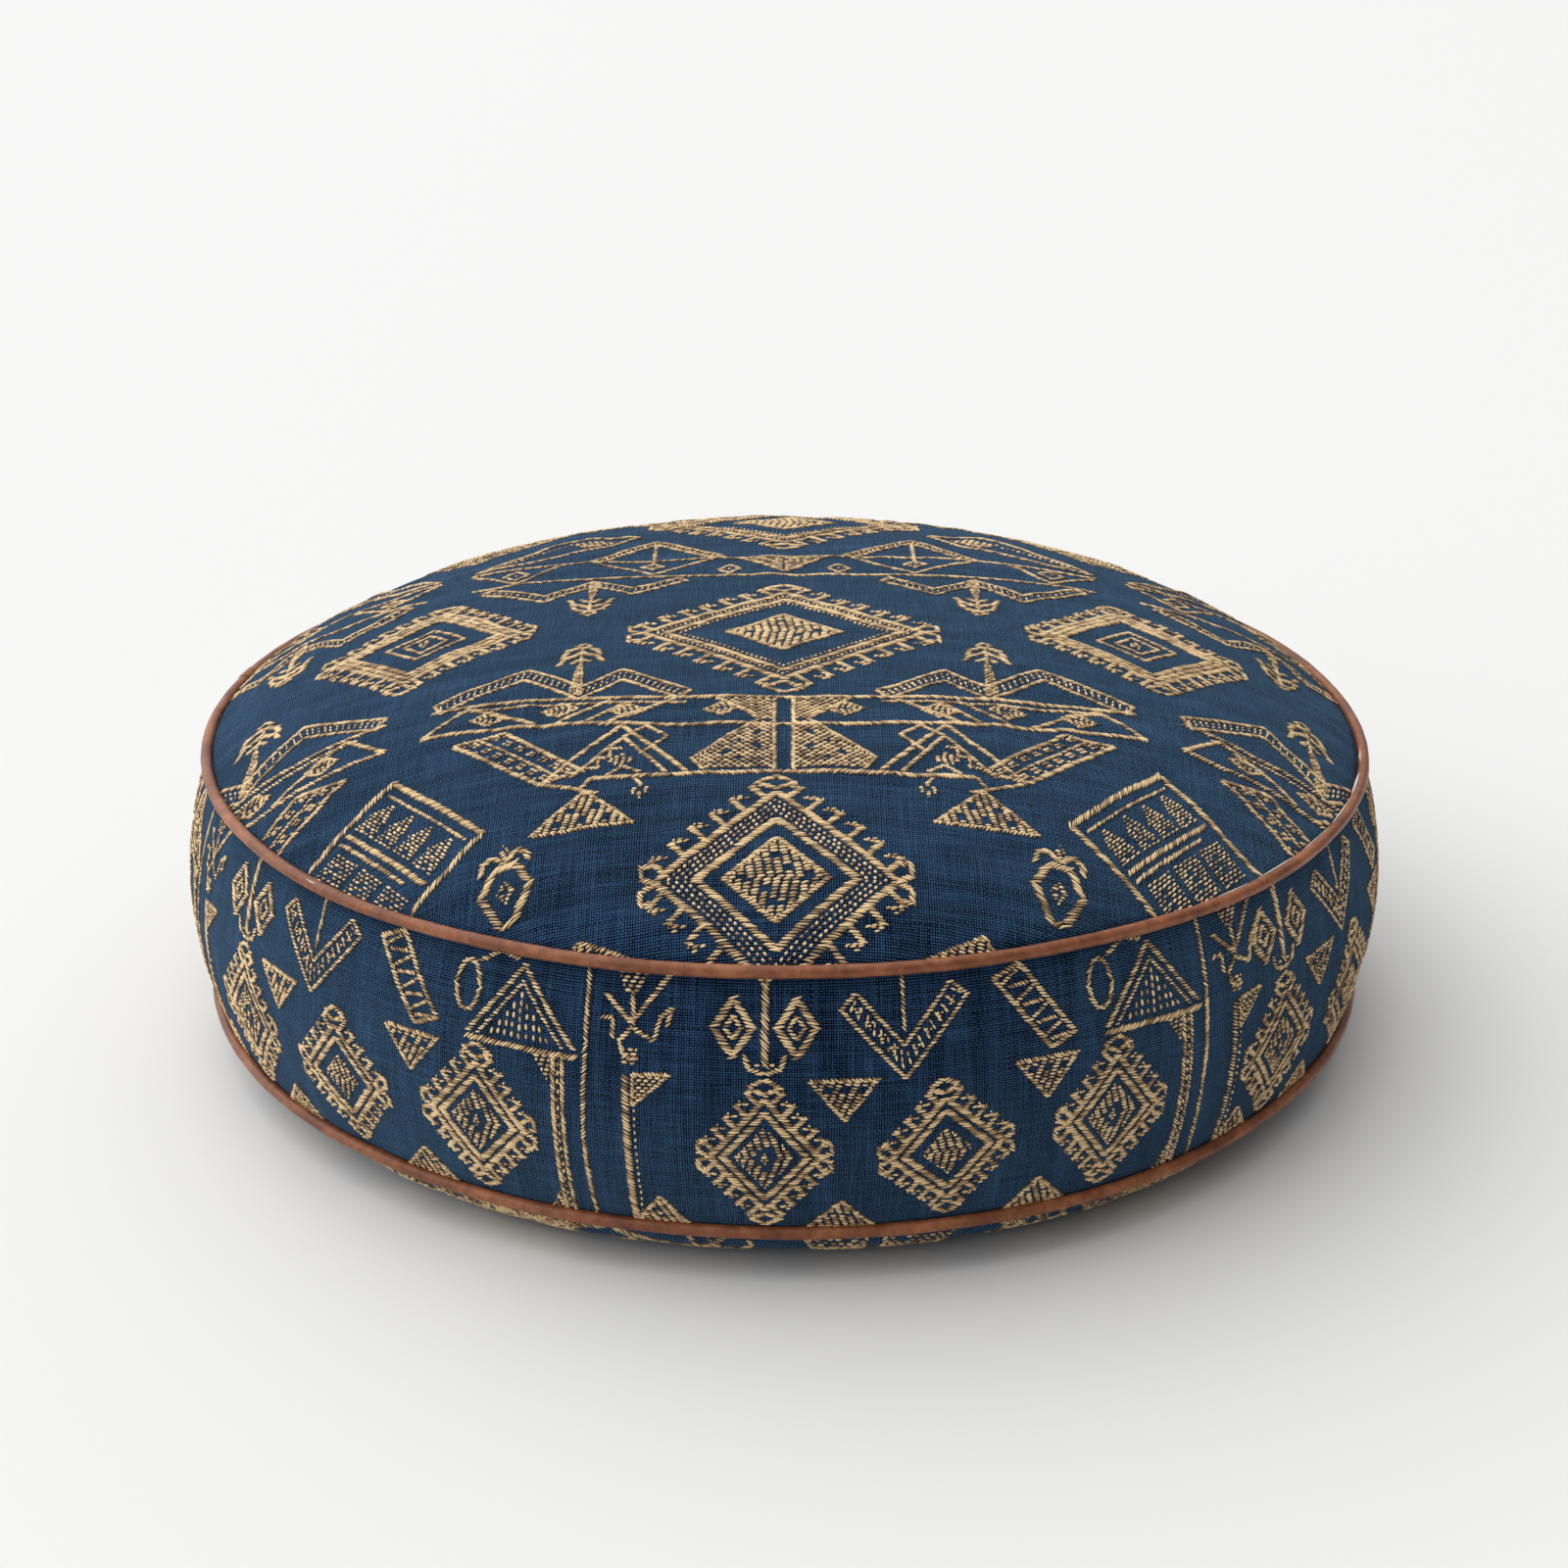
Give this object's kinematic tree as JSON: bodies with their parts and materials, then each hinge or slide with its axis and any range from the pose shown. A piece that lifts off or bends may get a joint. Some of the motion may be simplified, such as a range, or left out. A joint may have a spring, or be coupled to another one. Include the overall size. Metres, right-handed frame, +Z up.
{
  "type": "floor cushion",
  "caption": "Round boxed floor cushion with a crowned top, leather-piped seams, embroidered indigo cover and a zip across the back of the boxing.",
  "frame": {"origin": "centre of the underside, in the plane of the floor it rests on", "axes": "+Z up, -Y towards the front, +X to the right seen from the front; the zip runs round the back, centred on +Y"},
  "size_m": [0.75, 0.7501, 0.26],
  "materials": {
    "indigo_fabric": "matte",
    "gold_yarn": "satin",
    "tan_leather": "satin",
    "cotton_cord": "matte",
    "calico": "matte",
    "fibre_filling": "matte",
    "zip_tape": "matte",
    "zip_coil": "satin",
    "zip_brass": "satin"
  },
  "bodies": {
    "cushion": {"top_panel": "indigo_fabric", "bottom_panel": "indigo_fabric", "boxing_front": "indigo_fabric", "boxing_zip_upper": "indigo_fabric", "boxing_zip_lower": "indigo_fabric", "top_piping_leather": "tan_leather", "top_piping_cord": "cotton_cord", "bottom_piping_leather": "tan_leather", "bottom_piping_cord": "cotton_cord", "zip_tape_upper": "zip_tape", "zip_tape_lower": "zip_tape", "zip_coil_upper": "zip_coil", "zip_coil_lower": "zip_coil", "zip_stop_closed_end": "zip_brass", "zip_stop_open_end": "zip_brass", "bag_top": "calico", "bag_side": "calico", "bag_bottom": "calico", "filling": "fibre_filling"},
    "slider": {"zip_slider": "zip_brass"},
    "pull": {"zip_pull": "zip_brass"}
  },
  "joints": [
    {"name": "zip_slide", "type": "hinge", "parent": "cushion", "child": "slider", "pos_m": [0, 0, 0.105], "axis": [0, 0, 1], "range_deg": [0, 96.4]},
    {"name": "pull_swing", "type": "hinge", "parent": "slider", "child": "pull", "pos_m": [0.27948, 0.24988, 0.105], "axis": [0, 0, -1], "range_deg": [0, 170]}
  ]
}
